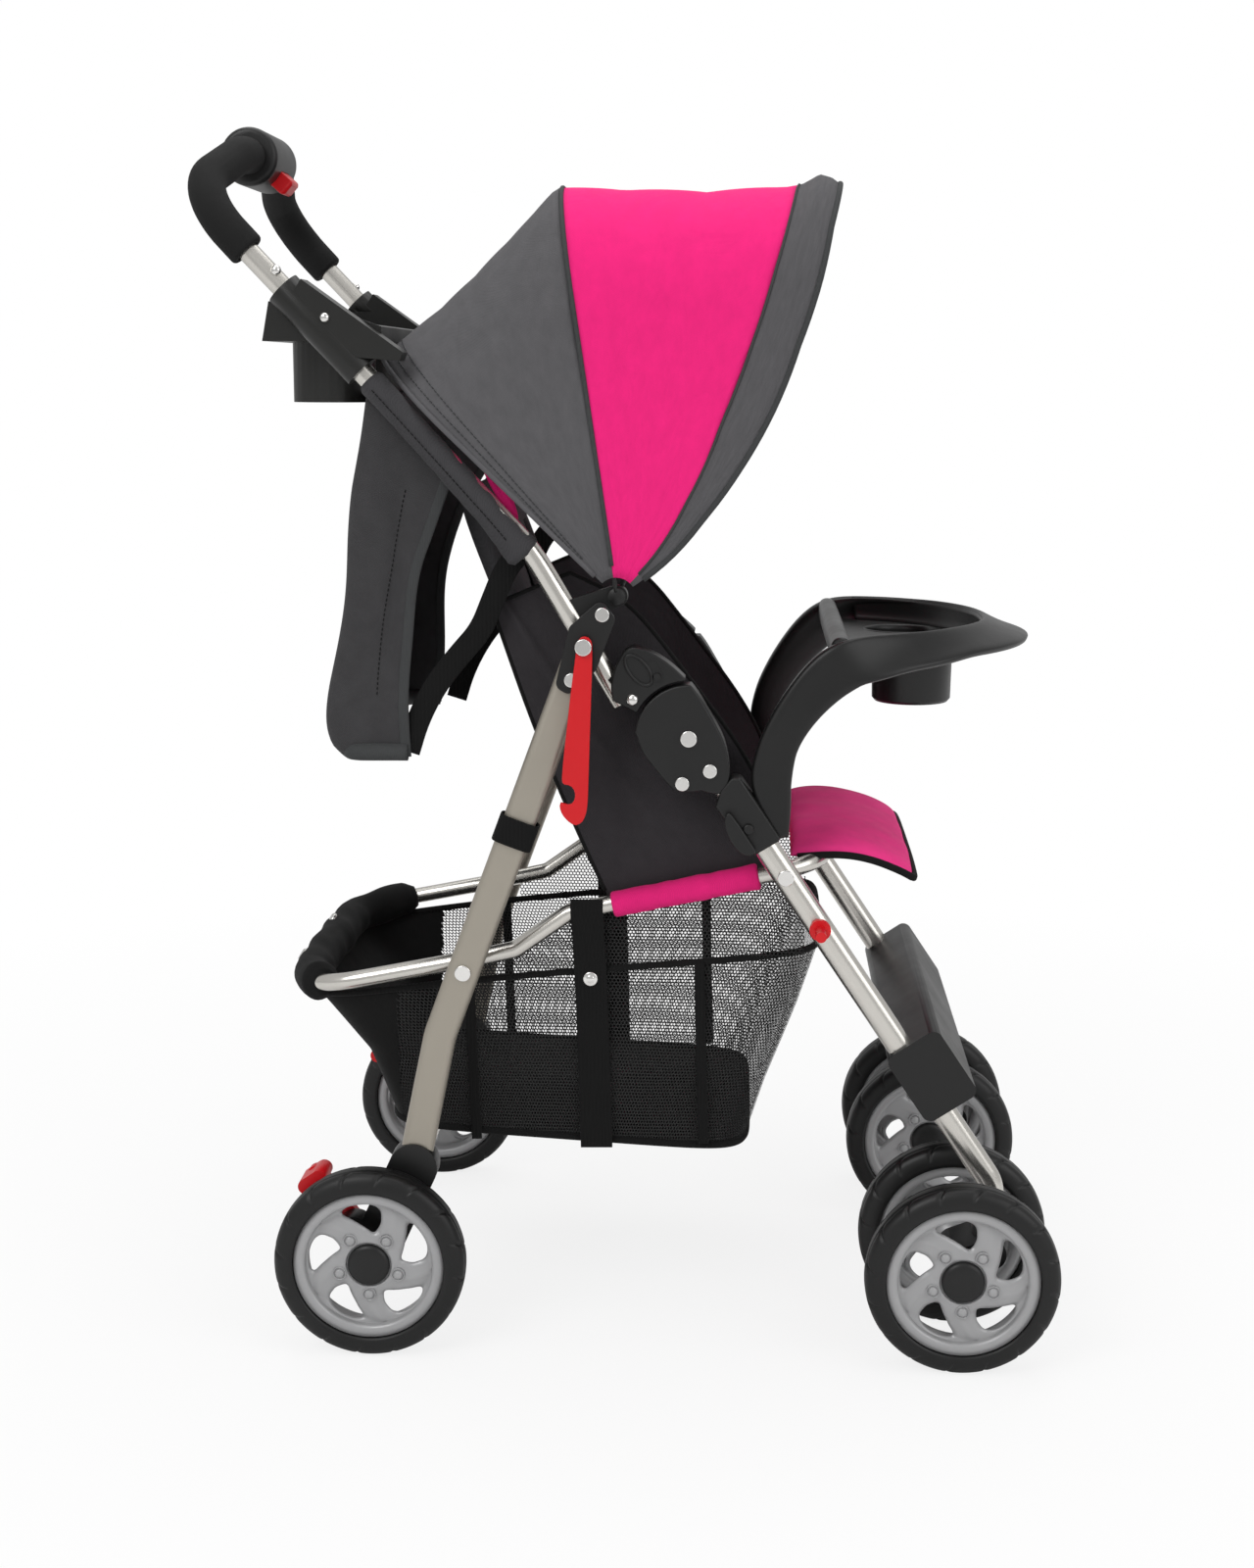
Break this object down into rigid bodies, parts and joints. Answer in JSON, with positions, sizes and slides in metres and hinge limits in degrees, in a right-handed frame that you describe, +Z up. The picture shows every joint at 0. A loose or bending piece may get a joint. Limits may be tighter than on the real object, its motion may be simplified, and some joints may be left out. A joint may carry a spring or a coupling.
{
  "type": "baby stroller",
  "caption": "Folding baby stroller with a reclining cloth seat, hinged canopy, under-seat basket, parent and child trays, foot brakes and swivelling twin front wheels.",
  "frame": {"origin": "on the floor under the middle of the bounding box", "axes": "+X forward, +Y the stroller's left side, +Z up"},
  "size_m": [0.7339, 0.484, 1.041],
  "materials": {
    "silver_tube": "satin",
    "steel": "brushed",
    "black_plastic": "matte",
    "grey_plastic": "satin",
    "taupe_plastic": "matte",
    "red_plastic": "gloss",
    "tyre_black": "matte",
    "foam_black": "matte",
    "grey_fabric": "woven",
    "pink_fabric": "woven",
    "black_fabric": "mesh"
  },
  "bodies": {
    "rear_frame": {"rear_legs": "silver_tube", "rear_cross_tube": "silver_tube", "hinge_plates": "steel", "axle_housings": "black_plastic", "rear_axles": "steel", "rear_rivets": "steel"},
    "handle_frame": {"handle_tube": "silver_tube", "foam_grips": "foam_black", "trigger_housing": "black_plastic", "parent_tray": "taupe_plastic", "canopy_brackets": "black_plastic", "lock_knuckles": "black_plastic", "rear_drape": "grey_fabric", "recline_straps": "black_fabric"},
    "front_frame": {"front_legs": "silver_tube", "footrest": "black_plastic", "lock_housings": "black_plastic", "tray_clips": "black_plastic", "fold_pin": "red_plastic", "front_rivets": "steel", "caster_sockets": "black_plastic"},
    "seat_frame": {"basket_loop": "silver_tube", "seat_rail": "silver_tube", "seat_pad": "pink_fabric", "seat_sides": "grey_fabric", "calf_flap": "pink_fabric", "basket": "black_fabric", "harness": "black_fabric"},
    "backrest_body": {"backrest": "grey_fabric"},
    "canopy_back": {"canopy_rear_bow": "steel", "canopy_rear_panel": "grey_fabric", "canopy_mid_panel": "pink_fabric"},
    "canopy_front": {"canopy_front_bow": "steel", "canopy_rim": "grey_fabric"},
    "trigger_body": {"fold_trigger": "red_plastic"},
    "hook_body": {"fold_hook": "red_plastic"},
    "child_tray_body": {"child_tray": "black_plastic"},
    "lock_slider_body_right": {"lock_slider_right": "black_plastic"},
    "tray_button_body_right": {"tray_button_right": "black_plastic"},
    "brake_right": {"brake_pedal_right": "red_plastic"},
    "caster_right": {"caster_fork_right": "black_plastic", "front_axle_right": "steel"},
    "wheel_front_right_outer": {"tyre_front_right_outer": "tyre_black", "rim_front_right_outer": "grey_plastic"},
    "wheel_front_right_inner": {"tyre_front_right_inner": "tyre_black", "rim_front_right_inner": "grey_plastic"},
    "wheel_rear_right": {"tyre_rear_right": "tyre_black", "rim_rear_right": "grey_plastic"},
    "lock_slider_body_left": {"lock_slider_left": "black_plastic"},
    "tray_button_body_left": {"tray_button_left": "black_plastic"},
    "brake_left": {"brake_pedal_left": "red_plastic"},
    "caster_left": {"caster_fork_left": "black_plastic", "front_axle_left": "steel"},
    "wheel_front_left_outer": {"tyre_front_left_outer": "tyre_black", "rim_front_left_outer": "grey_plastic"},
    "wheel_front_left_inner": {"tyre_front_left_inner": "tyre_black", "rim_front_left_inner": "grey_plastic"},
    "wheel_rear_left": {"tyre_rear_left": "tyre_black", "rim_rear_left": "grey_plastic"}
  },
  "joints": [
    {"name": "fold", "type": "hinge", "parent": "rear_frame", "child": "handle_frame", "pos_m": [-0.036, 0, 0.613], "axis": [0, -1, 0], "range_deg": [0, 95], "deforming": ["basket", "rear_drape", "backrest", "seat_sides", "recline_straps", "seat_pad", "calf_flap", "harness"]},
    {"name": "lock_knee", "type": "hinge", "parent": "handle_frame", "child": "front_frame", "pos_m": [0.05, 0, 0.5345], "axis": [0, -1, 0], "range_deg": [-132, 0]},
    {"name": "seat_fold", "type": "hinge", "parent": "rear_frame", "child": "seat_frame", "pos_m": [-0.13917, 0, 0.33343], "axis": [0, -1, 0], "range_deg": [0, 36.63]},
    {"name": "recline", "type": "hinge", "parent": "seat_frame", "child": "backrest_body", "pos_m": [-0.022, 0, 0.4284], "axis": [0, -1, 0], "range_deg": [0, 16]},
    {"name": "canopy_fold", "type": "hinge", "parent": "handle_frame", "child": "canopy_back", "pos_m": [-0.0105, 0, 0.652], "axis": [0, -1, 0], "range_deg": [0, 26], "deforming": ["canopy_rear_panel", "canopy_mid_panel"]},
    {"name": "canopy_front_fold", "type": "hinge", "parent": "canopy_back", "child": "canopy_front", "pos_m": [-0.0105, 0, 0.652], "axis": [0, -1, 0], "range_deg": [0, 26.2]},
    {"name": "trigger_pull", "type": "slide", "parent": "handle_frame", "child": "trigger_body", "axis": [-0.7431, 0, 0.6691], "range_m": [0, 0.006], "stiffness_N_per_m": 400},
    {"name": "hook_swing", "type": "hinge", "parent": "rear_frame", "child": "hook_body", "pos_m": [-0.036, -0.208, 0.613], "axis": [0, -1, 0], "range_deg": [-3, 40]},
    {"name": "tray_lift", "type": "slide", "parent": "front_frame", "child": "child_tray_body", "axis": [0.4067, 0, 0.9135], "range_m": [0, 0.045]},
    {"name": "lock_slide_right", "type": "slide", "parent": "handle_frame", "child": "lock_slider_body_right", "axis": [-0.515, 0, 0.8572], "range_m": [0, 0.0081]},
    {"name": "tray_button_press_right", "type": "slide", "parent": "front_frame", "child": "tray_button_body_right", "axis": [0, 1, 0], "range_m": [0, 0.0028], "stiffness_N_per_m": 300},
    {"name": "brake_press_right", "type": "hinge", "parent": "rear_frame", "child": "brake_right", "pos_m": [-0.237, -0.176, 0.098], "axis": [0, -1, 0], "range_deg": [0, 22]},
    {"name": "caster_swivel_right", "type": "hinge", "parent": "front_frame", "child": "caster_right", "pos_m": [0.314, -0.174, 0.1], "axis": [0, 0, 1], "continuous": true},
    {"name": "spin_front_right_outer", "type": "hinge", "parent": "caster_right", "child": "wheel_front_right_outer", "pos_m": [0.286, -0.226, 0.0825], "axis": [0, 1, 0], "continuous": true},
    {"name": "spin_front_right_inner", "type": "hinge", "parent": "caster_right", "child": "wheel_front_right_inner", "pos_m": [0.286, -0.122, 0.0825], "axis": [0, 1, 0], "continuous": true},
    {"name": "spin_rear_right", "type": "hinge", "parent": "rear_frame", "child": "wheel_rear_right", "pos_m": [-0.219, -0.2195, 0.0825], "axis": [0, 1, 0], "continuous": true},
    {"name": "lock_slide_left", "type": "slide", "parent": "handle_frame", "child": "lock_slider_body_left", "axis": [-0.515, 0, 0.8572], "range_m": [0, 0.0081]},
    {"name": "tray_button_press_left", "type": "slide", "parent": "front_frame", "child": "tray_button_body_left", "axis": [0, -1, 0], "range_m": [0, 0.0028], "stiffness_N_per_m": 300},
    {"name": "brake_press_left", "type": "hinge", "parent": "rear_frame", "child": "brake_left", "pos_m": [-0.237, 0.176, 0.098], "axis": [0, -1, 0], "range_deg": [0, 22]},
    {"name": "caster_swivel_left", "type": "hinge", "parent": "front_frame", "child": "caster_left", "pos_m": [0.314, 0.174, 0.1], "axis": [0, 0, 1], "continuous": true},
    {"name": "spin_front_left_outer", "type": "hinge", "parent": "caster_left", "child": "wheel_front_left_outer", "pos_m": [0.286, 0.226, 0.0825], "axis": [0, 1, 0], "continuous": true},
    {"name": "spin_front_left_inner", "type": "hinge", "parent": "caster_left", "child": "wheel_front_left_inner", "pos_m": [0.286, 0.122, 0.0825], "axis": [0, 1, 0], "continuous": true},
    {"name": "spin_rear_left", "type": "hinge", "parent": "rear_frame", "child": "wheel_rear_left", "pos_m": [-0.219, 0.2195, 0.0825], "axis": [0, 1, 0], "continuous": true}
  ],
  "couplings": [
    {"joint": "lock_knee", "follows": "fold", "ratio": -1.3874},
    {"joint": "seat_fold", "follows": "fold", "ratio": 0.3835},
    {"joint": "canopy_front_fold", "follows": "canopy_fold", "ratio": 1},
    {"joint": "lock_slide_right", "follows": "trigger_pull", "ratio": 1.3333},
    {"joint": "lock_slide_left", "follows": "trigger_pull", "ratio": 1.3333}
  ]
}
